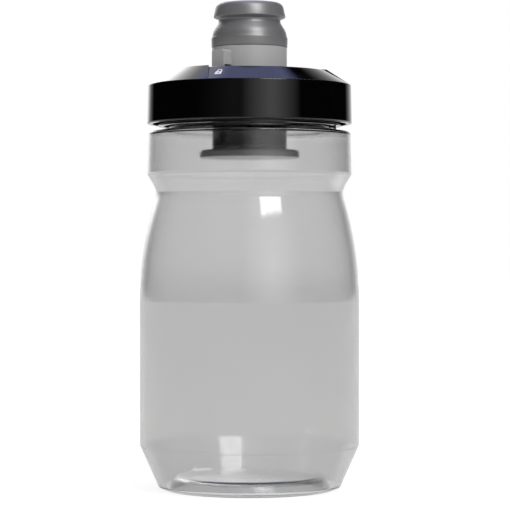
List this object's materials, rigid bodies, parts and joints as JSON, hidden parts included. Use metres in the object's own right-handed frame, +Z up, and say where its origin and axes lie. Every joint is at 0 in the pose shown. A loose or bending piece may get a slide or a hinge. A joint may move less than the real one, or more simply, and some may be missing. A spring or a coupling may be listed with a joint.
{
  "type": "bicycle water bottle",
  "caption": "Squeeze bottle for a bicycle cage, with a waist groove, a screw cap and a bite nozzle that locks with a quarter turn.",
  "frame": {"origin": "middle of the ring that the bottle stands on", "axes": "+Z up along the bottle's axis, -Y towards the front; the nozzle's lug stands 40 degrees to the left of the front when locked"},
  "size_m": [0.0738, 0.0738, 0.1635],
  "materials": {
    "smoke_squeeze_plastic": "gloss",
    "black_rubber": "satin",
    "gloss_black_plastic": "gloss",
    "white_ink": "matte",
    "smoke_clear_plastic": "gloss",
    "nozzle_clear_plastic": "gloss",
    "smoke_soft_rubber": "satin",
    "valve_silicone": "satin"
  },
  "bodies": {
    "bottle": {"bottle_body": "smoke_squeeze_plastic"},
    "gasket": {"mouth_gasket": "black_rubber"},
    "cap": {"cap_shell": "gloss_black_plastic", "mark_locked": "white_ink", "lock_cage": "smoke_clear_plastic", "cage_seal": "black_rubber"},
    "nozzle": {"nozzle_tube": "nozzle_clear_plastic", "upper_tube_seal": "black_rubber", "lower_tube_seal": "black_rubber", "mouthpiece": "smoke_soft_rubber", "jet_valve": "valve_silicone", "valve_retainer": "nozzle_clear_plastic"}
  },
  "joints": [
    {"name": "cap_rise", "type": "slide", "parent": "bottle", "child": "gasket", "axis": [0, 0, 1], "range_m": [0, 0.00626]},
    {"name": "cap_turn", "type": "hinge", "parent": "gasket", "child": "cap", "pos_m": [0, 0, 0.128], "axis": [0, 0, 1], "range_deg": [0, 450]},
    {"name": "nozzle_lock", "type": "hinge", "parent": "cap", "child": "nozzle", "pos_m": [0, 0, 0.135], "axis": [0, 0, 1], "range_deg": [0, 90]}
  ],
  "couplings": [
    {"joint": "cap_rise", "follows": "cap_turn", "m_per_rad": 0.00079577}
  ]
}
